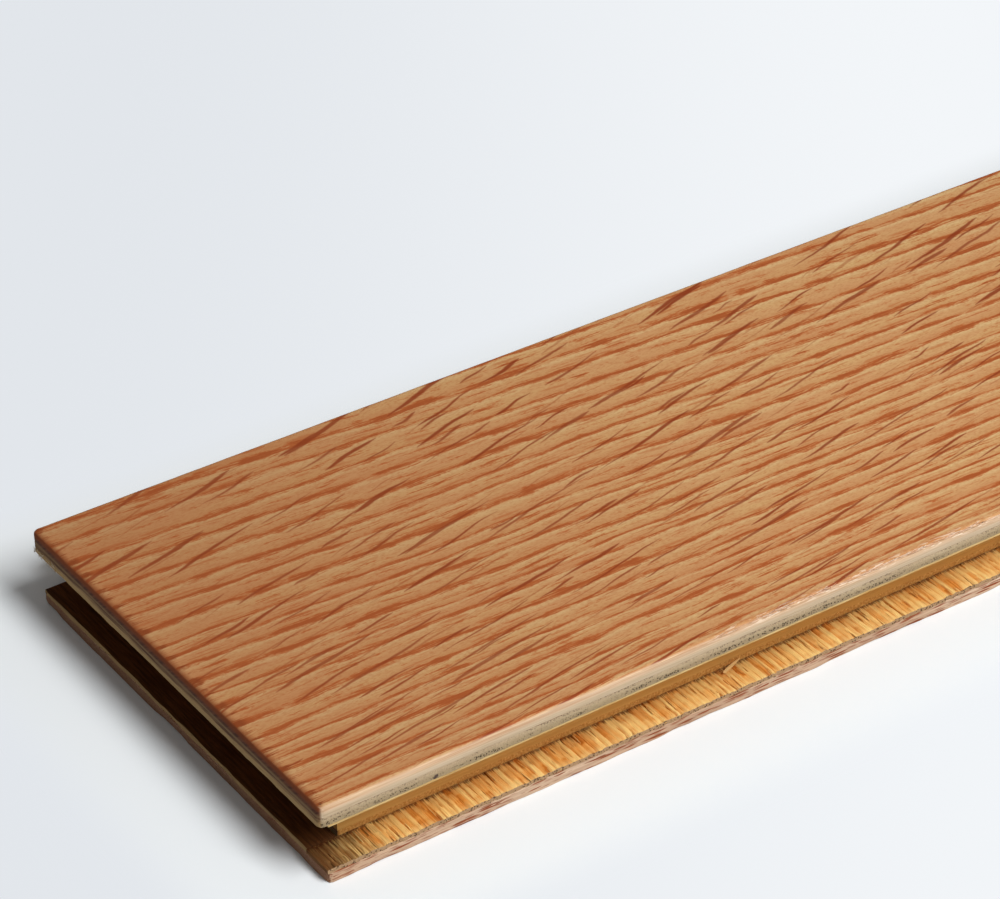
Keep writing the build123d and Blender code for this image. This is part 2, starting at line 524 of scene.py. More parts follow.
def tear(block, front, back, seed):
    """Tears a strip's top into bundles of fibres that run across the board, and marks each bundle's tone."""
    x = block.flat[:, 0]
    y = block.flat[:, 1]
    depth = (y - front) / (back - front)
    bent = x + 0.02 * y + 0.1 * MM * soft_noise(x / (4 * MM), y / (6 * MM), seed)
    place = bent / (0.95 * MM) + 0.45 * soft_noise(bent / (2.1 * MM), 0 * y, seed + 1)
    bundle = np.floor(place).astype(int)
    part = place - bundle
    chances = np.random.default_rng(seed + 2)
    number = bundle - bundle.min()
    own = chances.uniform(0, 1, (number.max() + 1, 4))[number]
    tuft = np.floor(2.6 * depth.clip(0, 1) + own[:, 2]).astype(int)
    tufts = chances.uniform(0, 1, (number.max() + 1, 4, 2))[number, tuft]
    dome = 1 - (2 * part - 1) ** 4
    broken = np.where(depth < 0.6 * own[:, 1] ** 2, own[:, 2], 0)
    fine = soft_noise(bent / (0.3 * MM), y / (6 * MM), seed + 3)
    drop = 0.16 * own[:, 0] + 0.16 * tufts[:, 0] + 0.28 * (1 - dome) + 0.12 * broken + 0.05 * fine
    drop += 0.3 * np.clip(1 - depth / 0.15, 0, 1) * own[:, 3]
    block.points[:, 2] -= np.where(block.top, np.clip(drop, -0.1, 0.62) * MM, 0)
    tone = 0.9 * own[:, 3] + 0.5 * tufts[:, 1] + 0.05 - 0.2 * broken + 0.25 * fine
    block.marks["tone"] = np.clip(tone * (0.3 + 0.7 * dome), 0, 1)
    block.push("grooved_side", -0.22 * MM * (own[:, 1] + 0.3 * fine).clip(0))


def make_torn_wood():
    """Raw torn wood: orange to pale yellow fibres across the board, grey and porous on the lip's cut edge."""
    material, tree, place, facing = start_wood("torn_wood", 0.8)
    axes = axes_of(tree, place)
    turned = vector_of(tree, axes[1], axes[0], axes[2])
    tone = add_node(tree, "ShaderNodeAttribute", {}, attribute_name="tone").outputs["Fac"]
    fibres = use_group(tree, wood_fibres, turned, length=5, width=0.22, seed=8)
    pores = use_group(tree, wood_pores, turned, length=2, width=0.36, fullness=0.6, seed=9)
    broad = fade(tree, patches(tree, place, (14, 30, 30)), 0.35, 0.7)
    depth = calc(tree, "SUBTRACT", axes[1], groove_front / MM)
    tips = fade(tree, depth, 1.8, 0.2)
    ragged_depth = calc(tree, "MULTIPLY_ADD", fibres, 0.8, depth)
    foot = fade(tree, ragged_depth, 5.4, 6.3)
    from_end = calc(tree, "SUBTRACT", axes[0], lower_low[0] / MM)
    darker_near_end = fade(tree, calc(tree, "MULTIPLY_ADD", fibres, -4.0, from_end), 11.0, -2.0)
    colour = tint(tree, tone, 1.0, srgb(220, 130, 40), srgb(250, 212, 134))
    colour = tint(tree, broad, 0.2, colour, srgb(226, 156, 62))
    colour = tint(tree, fibres, 0.3, colour, srgb(198, 118, 42))
    colour = tint(tree, tips, 0.45, colour, srgb(246, 212, 142))
    # Painted shade: the floor turns dark brown in the crease at the foot of the back wall.
    colour = tint(tree, foot, 0.8, colour, srgb(112, 66, 36))
    colour = tint(tree, fade(tree, tone, 0.22, 0.0), 0.7, colour, srgb(176, 94, 30))
    # The floor turns dark brown towards the grooved end.
    colour = tint(tree, darker_near_end, 0.92, colour, srgb(82, 40, 16))
    grey = tint(tree, pores, 0.85, srgb(178, 144, 108), srgb(76, 54, 40))
    lip_edge = calc(tree, "MULTIPLY", fade(tree, facing[1], 0.55, 0.85), fade(tree, depth, 1.0, 0.4))
    colour = tint(tree, lip_edge, 1.0, colour, grey)
    finish_wood(tree, colour, fibres, 0.09)
    return material


groove_front = lower_low[1]
groove_back = core_low[1]
torn_floor = Block(
    lines(lower_low[0], backing_high[0], 0.2 * MM, 0.3 * MM),
    lines(groove_front, groove_back, 0.52 * MM, 0.25 * MM),
    lower_low[2], LIP_TOP, 0.02 * MM, 0.05 * MM,
)
tear(torn_floor, groove_front, groove_back, 51)
torn_wood = make_torn_wood()
make_piece(
    "torn_groove_floor",
    [torn_floor],
    torn_wood,
    {"top": (4, 0.2), "grooved_side": (4, 0.04)},
    None,
)


# Torn fibres
# Thin slivers stand up from the torn floor where single fibres split off the bundles. They lie across the
# board, each with a root in the wood and a raised tip, and the cutter has trimmed them at the lip's edge.


def make_blade_tree():
    """A tree that strews thin tapered blades over a strip, each with its own size, turn and tone."""
    tree = bpy.data.node_groups.new("strewn blades", "GeometryNodeTree")
    tree.interface.new_socket("Strip", in_out="INPUT", socket_type="NodeSocketGeometry")
    sizes = ["Density", "Shortest", "Longest", "Thinnest", "Widest", "Flatness"]
    for label in sizes + ["Arch", "Lift", "Turn", "Heading", "Seed"]:
        tree.interface.new_socket(label, in_out="INPUT", socket_type="NodeSocketFloat")
    tree.interface.new_socket("Wood", in_out="INPUT", socket_type="NodeSocketMaterial")
    tree.interface.new_socket("Blades", in_out="OUTPUT", socket_type="NodeSocketGeometry")
    given = tree.nodes.new("NodeGroupInput").outputs

    def draw(low, high, turn):
        seed = calc(tree, "ADD", given["Seed"], turn)
        return add_node(tree, "FunctionNodeRandomValue", {2: low, 3: high, 8: seed}).outputs[1]

    spine = add_node(tree, "GeometryNodeCurvePrimitiveLine", {"Start": (0, -0.5, 0), "End": (0, 0.5, 0)})
    spine = add_node(tree, "GeometryNodeResampleCurve", {"Curve": spine.outputs[0], "Count": 5})
    share = tree.nodes.new("GeometryNodeSplineParameter").outputs["Factor"]
    swell = calc(tree, "SINE", calc(tree, "MULTIPLY", share, math.pi))
    arched = vector_of(tree, 0.0, 0.0, calc(tree, "MULTIPLY", swell, given["Arch"]))
    spine = add_node(tree, "GeometryNodeSetPosition", {"Geometry": spine.outputs[0], "Offset": arched})
    ring = add_node(tree, "GeometryNodeCurvePrimitiveCircle", {"Resolution": 4, "Radius": 0.5})
    thickness = calc(tree, "POWER", calc(tree, "MAXIMUM", swell, 0.02), 0.6)
    sweep = {"Curve": spine.outputs[0], "Profile Curve": ring.outputs[0], "Scale": thickness}
    blade = add_node(tree, "GeometryNodeCurveToMesh", {**sweep, "Fill Caps": True}).outputs[0]

    strewn = {"Mesh": given["Strip"], "Density": given["Density"], "Seed": given["Seed"]}
    spots = add_node(tree, "GeometryNodeDistributePointsOnFaces", strewn).outputs["Points"]
    width = draw(given["Thinnest"], given["Widest"], 1.0)
    length = draw(given["Shortest"], given["Longest"], 2.0)
    size = vector_of(tree, width, length, calc(tree, "MULTIPLY", width, given["Flatness"]))
    pitch = draw(calc(tree, "MULTIPLY", given["Lift"], -1.0), given["Lift"], 3.0)
    sway = draw(calc(tree, "MULTIPLY", given["Turn"], -1.0), given["Turn"], 4.0)
    angles = vector_of(tree, pitch, draw(-0.6, 0.6, 5.0), calc(tree, "ADD", sway, given["Heading"]))
    turned = add_node(tree, "FunctionNodeEulerToRotation", {0: angles}).outputs[0]
    placed = {"Points": spots, "Instance": blade, "Rotation": turned, "Scale": size}
    blades = add_node(tree, "GeometryNodeInstanceOnPoints", placed).outputs[0]
    toned = {"Geometry": blades, "Name": "tone", "Value": draw(0.0, 1.0, 6.0)}
    blades = add_node(tree, "GeometryNodeStoreNamedAttribute", toned, domain="INSTANCE").outputs[0]
    blades = add_node(tree, "GeometryNodeRealizeInstances", {0: blades}).outputs[0]
    dressed = {"Geometry": blades, "Material": given["Wood"]}
    blades = add_node(tree, "GeometryNodeSetMaterial", dressed).outputs[0]
    tree.links.new(blades, tree.nodes.new("NodeGroupOutput").inputs[0])
    return tree


strewn_blades = make_blade_tree()


def strew_blades(name, strip, low, high, slot, **sizes):
    """Strews blades over a four-cornered strip, trims them to a box and makes them one plain piece."""
    ground = bpy.data.meshes.new(name)
    ground.from_pydata(strip, [], [(0, 1, 2, 3)])
    carrier = bpy.data.objects.new(name, ground)
    bpy.context.scene.collection.objects.link(carrier)
    modifier = carrier.modifiers.new("blades", "NODES")
    modifier.node_group = strewn_blades
    named = {label.title(): value for label, value in sizes.items()}
    for socket in strewn_blades.interface.items_tree:
        if socket.name in named:
            modifier[socket.identifier] = named[socket.name]
    graph = bpy.context.evaluated_depsgraph_get()
    mesh = bpy.data.meshes.new_from_object(carrier.evaluated_get(graph), depsgraph=graph)
    bpy.data.objects.remove(carrier)
    bpy.data.meshes.remove(ground)
    mesh.name = name
    points = np.empty(3 * len(mesh.vertices), np.float32)
    mesh.vertices.foreach_get("co", points)
    points = np.clip(points.reshape(-1, 3), low, high)
    mesh.vertices.foreach_set("co", points.astype(np.float32).ravel())
    across = math.ceil(math.sqrt(len(mesh.polygons)))
    cell = np.arange(len(mesh.polygons))
    corner = np.stack([cell % across, cell // across], 1)[:, None, :]
    spot = (corner + np.array([(0.1, 0.1), (0.9, 0.1), (0.9, 0.9), (0.1, 0.9)])) / across
    bake_map = mesh.uv_layers.new(name="OFBake")
    bake_map.data.foreach_set("uv", spot.astype(np.float32).ravel())
    mesh.shade_smooth()
    mesh.update()
    return add_piece(name, mesh, None)


fibre_height = LIP_TOP - 0.2 * MM
strew_blades(
    "torn_fibres",
    [
        (lower_low[0] + 0.5 * MM, groove_front + 0.4 * MM, fibre_height - 0.15 * MM),
        (backing_high[0], groove_front + 0.4 * MM, fibre_height - 0.15 * MM),
        (backing_high[0], groove_back - 0.5 * MM, fibre_height),
        (lower_low[0] + 0.5 * MM, groove_back - 0.5 * MM, fibre_height),
    ],
    (lower_low[0], groove_front + 0.05 * MM, lower_low[2]),
    (backing_high[0], groove_back, core_high[2]),
    "crossband_wood",
    density=0.3e6, shortest=1.4 * MM, longest=4.6 * MM, thinnest=0.12 * MM, widest=0.45 * MM,
    flatness=0.4, arch=0.3, lift=0.06, turn=0.035, heading=0.0, seed=5, wood=torn_wood,
)


# Core ply
# The thick middle ply is golden softwood with its grain along the board, milled smooth. It stops short of the
# grooved edges, where it is the groove's back wall, and runs out past the other two as the tongues.


def make_core_wood():
    """Golden wood with straight soft grain along the board, and darker pith lines."""
    material, tree, place, facing = start_wood("core_wood", 0.6)
    broad = fade(tree, patches(tree, place, (90, 12, 5)), 0.3, 0.7)
    fibres = use_group(tree, wood_fibres, place, length=30, width=0.5, seed=6)
    end = fade(tree, facing[0], 0.45, 0.8)
    colour = tint(tree, broad, 1.0, srgb(222, 174, 100), srgb(210, 156, 84))
    colour = tint(tree, fibres, 0.35, colour, srgb(182, 126, 62))
    colour = tint(tree, end, 0.8, colour, srgb(130, 86, 44))
    finish_wood(tree, colour, fibres, 0.02)
    return material


core_wood = make_core_wood()
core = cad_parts["core_ply"]
core.data.materials.clear()
core.data.materials.append(core_wood)


# Core remnant
# The cutter left a ragged skin of the core on the underside of the upper lip, glued to the crossband there.
# Its pale yellow edge shows as a thin line along the long groove.

upper_low, upper_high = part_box("upper_crossband")
REMNANT_DEPTH = 0.34 * MM
remnant = Block(
    lines(upper_low[0] + 1.5 * MM, backing_high[0], 0.8 * MM),
    lines(upper_low[1] + 0.12 * MM, upper_low[1] + 2.2 * MM, 0.6 * MM, 0.2 * MM),
    upper_low[2] - REMNANT_DEPTH, upper_low[2], 0.03 * MM, 0.01 * MM,
)
remnant_x = remnant.flat[:, 0]
remnant_loss = 0.45 + 0.4 * soft_noise(remnant_x / (14 * MM), 0 * remnant_x, 81)
remnant_loss += 0.15 * soft_noise(remnant_x / (2.5 * MM), 0 * remnant_x, 82)
remnant_loss += 0.5 * np.clip((remnant_x - remnant_x.min() - 80 * MM) / (20 * MM), 0, 1)
remnant.points[:, 2] += np.where(remnant.bottom, REMNANT_DEPTH * np.clip(remnant_loss, 0, 0.97), 0)


def make_remnant_wood():
    """Pale yellow torn wood."""
    material, tree, place, _ = start_wood("remnant_wood", 0.75)
    fibres = use_group(tree, wood_fibres, place, length=6, width=0.3, seed=12)
    colour = tint(tree, fibres, 1.0, srgb(214, 186, 130), srgb(188, 148, 88))
    finish_wood(tree, colour, fibres, 0.03)
    return material


make_piece(
    "core_remnant",
    [remnant],
    make_remnant_wood(),
    {"grooved_side": (3, 0.2), "bottom": (3, 0.1)},
    None,
)


# Loose splinter
# One broken sliver of the torn wood lies in the long groove, with its thick end on the floor and its thin end
# against the back wall.


def make_splinter_wood(name, dull, bright):
    """Raw split wood, each splinter with its own tone between a dull and a bright one."""
    material, tree, place, _ = start_wood(name, 0.7)
    tone = add_node(tree, "ShaderNodeAttribute", {}, attribute_name="tone").outputs["Fac"]
    fibres = use_group(tree, wood_fibres, place, length=3, width=0.12, seed=17)
    colour = tint(tree, tone, 1.0, dull, bright)
    colour = tint(tree, fibres, 0.3, colour, dull)
    finish_wood(tree, colour, fibres, 0.02)
    return material


SLIVER_HALF_LENGTH = 2.1 * MM
SLIVER_HALF_WIDTH = 0.3 * MM
SLIVER_HALF_DEPTH = 0.12 * MM
SLIVER_FROM_CORNER = 76.4 * MM
SLIVER_FROM_LIP_EDGE = 4.9 * MM
SLIVER_ABOVE_FLOOR = 0.45 * MM
sliver = Block(
    lines(-SLIVER_HALF_LENGTH, SLIVER_HALF_LENGTH, 0.4 * MM, 0.2 * MM),
    lines(-SLIVER_HALF_WIDTH, SLIVER_HALF_WIDTH, 0.2 * MM, 0.1 * MM),
    -SLIVER_HALF_DEPTH, SLIVER_HALF_DEPTH, 0.05 * MM, 0.05 * MM,
)
sliver_share = sliver.points[:, :1] / SLIVER_HALF_LENGTH
sliver.points[:, 1:] *= 0.85 - 0.25 * sliver_share - 0.5 * sliver_share ** 2
sliver_turn = Euler((math.radians(35), math.radians(-6), math.radians(15))).to_matrix()
sliver_middle = (
    upper_low[0] + SLIVER_FROM_CORNER,
    groove_front + SLIVER_FROM_LIP_EDGE,
    LIP_TOP + SLIVER_ABOVE_FLOOR,
)
sliver.points = sliver.points @ np.array(sliver_turn).T + sliver_middle
sliver.marks["tone"] = np.full(len(sliver.points), 0.5)
make_piece(
    "loose_splinter",
    [sliver],
    make_splinter_wood("sliver_wood", srgb(206, 152, 84), srgb(244, 208, 148)),
    {"top": (1, 0.4), "grooved_side": (1, 0.2)},
    None,
)


# Upper crossband
# A veneer like the lower one, glued between the core and the face. It is the underside of the grooves' upper
# lip, and the end's saw has torn its lower edge. One small dark pin knot shows on its grooved side.

UPPER_SPECK_HEIGHT = 11.1
ABOVE_THE_BOARD = 20
KNOT_FROM_CORNER = 19.5
KNOT_ABOVE_LIP = 0.4
knot_place = (upper_low[0] / MM + KNOT_FROM_CORNER, upper_low[1] / MM, upper_low[2] / MM + KNOT_ABOVE_LIP)
upper = Block(
    lines(upper_low[0], upper_high[0], 0.7 * MM),
    lines(upper_low[1], upper_high[1], 1.2 * MM),
    upper_low[2], upper_high[2], 0.06 * MM, 0.04 * MM,
)
roughen(upper, 0.14 * MM, 2.2 * MM, 0.5 * MM, 61)
fray(upper, "grooved_end", 0.7 * MM, 1.0 * MM, 3.5 * MM, 64)
fray(upper, "grooved_side", 0.15 * MM, 0.6 * MM, 6 * MM, 66)
soften_corners(upper, 0.25 * MM)
make_piece(
    "upper_crossband_ply",
    [upper],
    make_crossband_wood("upper_crossband_wood", 20, UPPER_SPECK_HEIGHT, ABOVE_THE_BOARD, knot_place),
    {"grooved_side": (3, 0.1), "tongued_side": (3, 0.1), "grooved_end": (1, 0.1), "tongued_end": (1, 0.1)},
    "upper_crossband",
)


# Lip hairs
# The end's saw has left a tuft of fine pale fibres under the upper lip, at the corner by the tongued side.
# They are loose ends of the crossband's own wood, held at their roots.

HAIR_TUFT_LENGTH = 7 * MM
HAIR_TUFT_DEPTH = 0.5 * MM
hair_top = upper_low[2] + 0.5 * MM
hair_foot = upper_low[2] - 0.3 * MM
tuft_start = upper_high[1] - HAIR_TUFT_LENGTH
tuft_end = upper_high[1] - 0.2 * MM
strew_blades(
    "lip_hairs",
    [
        (upper_low[0], tuft_start, hair_top),
        (upper_low[0] + HAIR_TUFT_DEPTH, tuft_start, hair_foot),
        (upper_low[0] + HAIR_TUFT_DEPTH, tuft_end, hair_foot),
        (upper_low[0], tuft_end, hair_top),
    ],
    (upper_low[0], upper_low[1], lower_high[2]),
    (upper_high[0], upper_high[1], upper_high[2]),
    "crossband_wood",
    density=9e6, shortest=0.6 * MM, longest=2.2 * MM, thinnest=0.05 * MM, widest=0.12 * MM,
    flatness=0.8, arch=0.4, lift=1.3, turn=1.5, heading=0.0, seed=21,
    wood=make_splinter_wood("hair_wood", srgb(196, 176, 150), srgb(238, 228, 214)),
)


# Wear layer
# The face is sawn oak, cut so that its growth rings run along it as broken orange lines, with darker rays
# slanting across them. It has a clear satin coat and eased edges, and bare paler wood where the edges are cut
# or splintered. A pale patchy line along the eased arris is partly bare worn wood and partly painted
# highlight.

wear_low, wear_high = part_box("wear_layer")
FACE_WIDTH = wear_high[1] - wear_low[1]


def make_spindle_group():
    """Long thin spindles along X, at most one in each cell of a loose grid, each with its own shape."""
    sizes = {
        "Cell Length": 20, "Cell Width": 4, "Shortest": 6, "Longest": 16, "Thickness": 0.7, "Softness": 0.2,
        "Fullness": 0.5, "Scatter": 0.6, "Bend": 0.15, "Tilt": 0.1, "Seed": 0,
    }
    group, given, spindle = start_group("spindles", sizes, "Spindle")

    def chances(key, offset):
        moved = vector_calc(group, "ADD", key, offset)
        noise = add_node(group, "ShaderNodeTexWhiteNoise", {"Vector": moved}, noise_dimensions="3D").outputs
        return add_node(group, "ShaderNodeSeparateColor", {0: noise["Color"]}).outputs

    def product(*values):
        result = values[0]
        for value in values[1:]:
            result = calc(group, "MULTIPLY", result, value)
        return result

    axes = axes_of(group, given["Place"])
    across = calc(group, "DIVIDE", axes[1], given["Cell Width"])
    row = calc(group, "FLOOR", across)
    row_shift = chances(vector_of(group, row, given["Seed"]), (0.5, 0.5, 0.5))[0]
    lengthwise = calc(group, "DIVIDE", axes[0], given["Cell Length"])
    lengthwise = calc(group, "MULTIPLY_ADD", row_shift, 7.0, lengthwise)
    key = vector_of(group, calc(group, "FLOOR", lengthwise), row, given["Seed"])
    luck, size, stand = chances(key, (0.3, 0.2, 0.1))
    drift, strength, lean = chances(key, (31.7, 17.3, 9.1))
    slant, girth, phase = chances(key, (11.9, 53.4, 27.6))

    span = calc(group, "SUBTRACT", given["Longest"], given["Shortest"])
    length = calc(group, "MULTIPLY_ADD", size, span, given["Shortest"])
    room = calc(group, "SUBTRACT", given["Cell Length"], length)
    along = product(calc(group, "SUBTRACT", calc(group, "FRACT", lengthwise), 0.5), given["Cell Length"])
    along = calc(group, "SUBTRACT", along, product(calc(group, "SUBTRACT", stand, 0.5), room))
    share = calc(group, "DIVIDE", along, product(length, 0.5))
    share = calc(group, "MINIMUM", calc(group, "MAXIMUM", share, -1.0), 1.0)

    sideways = product(calc(group, "SUBTRACT", calc(group, "FRACT", across), 0.5), given["Cell Width"])
    centre = product(calc(group, "SUBTRACT", drift, 0.5), given["Scatter"], given["Cell Width"])
    tilt = product(calc(group, "SUBTRACT", slant, 0.5), given["Tilt"])
    centre = calc(group, "MULTIPLY_ADD", tilt, along, centre)
    wave = calc(group, "SINE", calc(group, "MULTIPLY_ADD", phase, 2 * math.pi, product(share, math.pi)))
    centre = calc(group, "MULTIPLY_ADD", wave, given["Bend"], centre)
    offset = calc(group, "ABSOLUTE", calc(group, "SUBTRACT", sideways, centre))

    taper = calc(group, "SUBTRACT", 1.0, calc(group, "POWER", calc(group, "ABSOLUTE", share), 3.0))
    swing = product(calc(group, "SUBTRACT", lean, 0.5), 1.3)
    fatter_end = calc(group, "MULTIPLY_ADD", share, swing, 1.0)
    own_half = calc(group, "MULTIPLY_ADD", girth, 0.4, 0.3)
    longer_is_fatter = calc(group, "MULTIPLY_ADD", size, 0.45, 0.55)
    width = product(taper, fatter_end, given["Thickness"], product(own_half, longer_is_fatter))
    edge = product(given["Thickness"], given["Softness"])
    solid = fade(group, calc(group, "SUBTRACT", width, offset), product(edge, -1.0), edge)
    inside = fade(group, taper, 0.0, 0.12)
    present = calc(group, "LESS_THAN", luck, given["Fullness"])
    depth = calc(group, "MULTIPLY_ADD", strength, 0.2, 0.8)
    group.links.new(product(solid, inside, present, depth), spindle)
    return group


spindles = make_spindle_group()

SPLINTERS_FROM = 70
SPLINTERS_TO = 124
SPLINTERS_FADE = 8
RING_GAP_NEAR = 2.8
RING_GAP_GROWTH = 0.027
RING_SLOPE = 0.058
RING_SWAY_LENGTH = 200
RAY_SLOPE_NEAR = 0.16
RAY_SLOPE_GROWTH = 0.0018
RAY_SLOPE_MIDDLE = 0.25
COAT_SPECULAR = 0.22
COAT_ROUGHNESS = 0.5
RAW_ROUGHNESS = 0.95


def ring_coordinate(tree, along, across, place):
    """How many growth rings lie between the grooved side and a point of the face."""
    sway = calc(tree, "SINE", calc(tree, "DIVIDE", along, RING_SWAY_LENGTH))
    share = calc(tree, "DIVIDE", across, FACE_WIDTH / MM)
    drift = calc(tree, "MULTIPLY", calc(tree, "MULTIPLY", sway, share), RING_SLOPE * RING_SWAY_LENGTH)
    bends = calc(tree, "SUBTRACT", patches(tree, place, (70, 30, 30), 1.0), 0.5)
    ripples = calc(tree, "SUBTRACT", patches(tree, place, (9, 3, 3), 1.0), 0.5)
    height = calc(tree, "ADD", across, drift)
    height = calc(tree, "MULTIPLY_ADD", bends, 4.0, height)
    height = calc(tree, "MULTIPLY_ADD", ripples, 1.1, height)
    growth = calc(tree, "MULTIPLY_ADD", height, RING_GAP_GROWTH / RING_GAP_NEAR, 1.0)
    rings = calc(tree, "DIVIDE", calc(tree, "LOGARITHM", growth, math.e), RING_GAP_GROWTH)
    uneven = patches(tree, vector_of(tree, rings, 3.3, 0.0), (1.6, 1, 1), 0.0)
    return calc(tree, "MULTIPLY_ADD", calc(tree, "SUBTRACT", uneven, 0.5), 0.9, rings)


def ray_place(tree, along, across, place):
    """The place with its second axis square to the rays, which rise more steeply towards the tongued side."""
    slope = calc(tree, "MULTIPLY_ADD", across, RAY_SLOPE_GROWTH, RAY_SLOPE_NEAR)
    rise = calc(tree, "DIVIDE", calc(tree, "LOGARITHM", slope, math.e), RAY_SLOPE_GROWTH)
    level = calc(tree, "MULTIPLY", calc(tree, "SUBTRACT", rise, along), RAY_SLOPE_MIDDLE)
    uneven = calc(tree, "SUBTRACT", patches(tree, place, (7, 3, 3)), 0.5)
    return vector_of(tree, along, calc(tree, "MULTIPLY_ADD", uneven, 0.7, level))


def make_oak_face():
    """Coated oak with ring lines and rays on the face, pale bare wood on its sides and dark end grain."""
    material, tree, place, facing = start_wood("oak_face", COAT_ROUGHNESS)
    axes = axes_of(tree, place)
    along = calc(tree, "SUBTRACT", axes[0], wear_low[0] / MM)
    across = calc(tree, "SUBTRACT", axes[1], wear_low[1] / MM)
    below_face = calc(tree, "SUBTRACT", wear_high[2] / MM, axes[2])

    rings = ring_coordinate(tree, along, across, place)
    ring_place = vector_of(tree, along, rings)
    phase = calc(tree, "FRACT", rings)
    off_line = calc(tree, "ABSOLUTE", calc(tree, "SUBTRACT", phase, 0.5))
    swell = patches(tree, ring_place, (6, 1.1, 2))
    crest = fade(tree, calc(tree, "DIVIDE", off_line, swell), 0.6, 0.0)
    between = fade(tree, calc(tree, "DIVIDE", calc(tree, "SUBTRACT", 0.5, off_line), swell), 0.4, 0.0)
    crest = calc(tree, "MAXIMUM", crest, calc(tree, "MULTIPLY", between, 0.5))
    segments = patches(tree, ring_place, (9, 0.8, 1))
    fibre_place = vector_of(tree, along, calc(tree, "MULTIPLY", rings, 4.0))
    ring_fibres = use_group(tree, wood_fibres, fibre_place, length=4, width=0.2, seed=15)
    stipple = patches(tree, place, (0.7, 0.3, 1.0), 3.0)
    level = calc(tree, "MULTIPLY_ADD", segments, 1.7, calc(tree, "SUBTRACT", crest, 2.1))
    level = calc(tree, "MULTIPLY_ADD", ring_fibres, 0.8, level)
    level = calc(tree, "MULTIPLY_ADD", stipple, 0.6, level)
    ring = fade(tree, level, -0.1, 0.35)
    ring_core = fade(tree, level, 0.25, 0.6)
    pore_lines = use_group(
        tree, spindles, ring_place, cell_length=8, cell_width=0.5, shortest=2.5, longest=7.5, thickness=0.1,
        softness=0.4, fullness=0.62, scatter=0.5, bend=0.0, tilt=0.004, seed=8,
    )
    early_light = calc(tree, "MULTIPLY", fade(tree, phase, 0.1, 0.3), fade(tree, phase, 0.44, 0.32))
    after_line = calc(tree, "MULTIPLY", fade(tree, phase, 0.48, 0.56), fade(tree, phase, 1.0, 0.56))

    rays = ray_place(tree, along, across, place)
    long_rays = use_group(
        tree, spindles, rays, cell_length=26, cell_width=4.3, shortest=9, longest=23, thickness=0.68,
        softness=0.26, fullness=0.74, scatter=0.5, bend=0.16, tilt=0.03, seed=3,
    )
    short_rays = use_group(
        tree, spindles, rays, cell_length=15, cell_width=3.4, shortest=5, longest=13, thickness=0.6,
        softness=0.28, fullness=0.34, scatter=0.5, bend=0.14, tilt=0.05, seed=4,
    )
    hair_rays = use_group(
        tree, spindles, rays, cell_length=19, cell_width=2.7, shortest=5, longest=17, thickness=0.34,
        softness=0.4, fullness=0.42, scatter=0.6, bend=0.12, tilt=0.04, seed=5,
    )

    fibres = use_group(tree, wood_fibres, place, length=4, width=0.3, seed=7)
    mottle = fade(tree, patches(tree, place, (8, 1.8, 1.0)), 0.35, 0.65)
    broad = fade(tree, patches(tree, ring_place, (60, 1.6, 1)), 0.3, 0.7)
    face = tint(tree, broad, 0.7, srgb(215, 175, 118), srgb(206, 148, 100))
    face = tint(tree, mottle, 0.45, face, srgb(210, 156, 107))
    face = tint(tree, early_light, 0.7, face, srgb(222, 190, 136))
    face = tint(tree, after_line, 0.4, face, srgb(194, 124, 72))
    face = tint(tree, fibres, 0.22, face, srgb(182, 114, 64))
    face = tint(tree, fade(tree, stipple, 0.42, 0.68), 0.4, face, srgb(182, 116, 68))
    face = tint(tree, pore_lines, 0.6, face, srgb(182, 96, 44))
    face = tint(tree, ring, 0.84, face, srgb(182, 92, 38))
    face = tint(tree, ring_core, 0.6, face, srgb(156, 70, 28))
    face = tint(tree, hair_rays, 0.55, face, srgb(160, 78, 34))
    face = tint(tree, calc(tree, "MAXIMUM", long_rays, short_rays), 0.94, face, srgb(140, 54, 18))
    darker_end = calc(tree, "MULTIPLY", fade(tree, along, 140.0, -20.0), fade(tree, across, -110.0, 80.0))
    face = tint(tree, darker_end, 0.5, face, srgb(140, 72, 36))
    end_depth = calc(tree, "MULTIPLY_ADD", ring, -1.2, along)
    face = tint(tree, fade(tree, end_depth, 1.4, 0.0), 0.75, face, srgb(126, 60, 26))

    bare = add_node(tree, "ShaderNodeAttribute", {}, attribute_name="bare").outputs["Fac"]
    split = fade(tree, patches(tree, place, (1.8, 0.3, 0.3)), 0.54, 0.62)
    past_start = fade(tree, along, SPLINTERS_FROM - SPLINTERS_FADE, SPLINTERS_FROM + SPLINTERS_FADE)
    before_end = fade(tree, along, SPLINTERS_TO + SPLINTERS_FADE, SPLINTERS_TO - SPLINTERS_FADE)
    frayed = calc(tree, "MULTIPLY", past_start, before_end)
    frayed = calc(tree, "MULTIPLY", frayed, fade(tree, across, 1.3, 0.3))
    frayed = calc(tree, "MULTIPLY", split, calc(tree, "MAXIMUM", frayed, bare))
    frayed = calc(tree, "MULTIPLY", frayed, fade(tree, below_face, 1.2, 0.5))
    streaks = use_group(tree, wood_fibres, place, length=14, width=0.36, seed=13)
    coated = use_group(tree, wood_fibres, place, length=18, width=0.5, seed=16)
    coated = calc(tree, "MULTIPLY", coated, fade(tree, below_face, 1.4, 0.6))
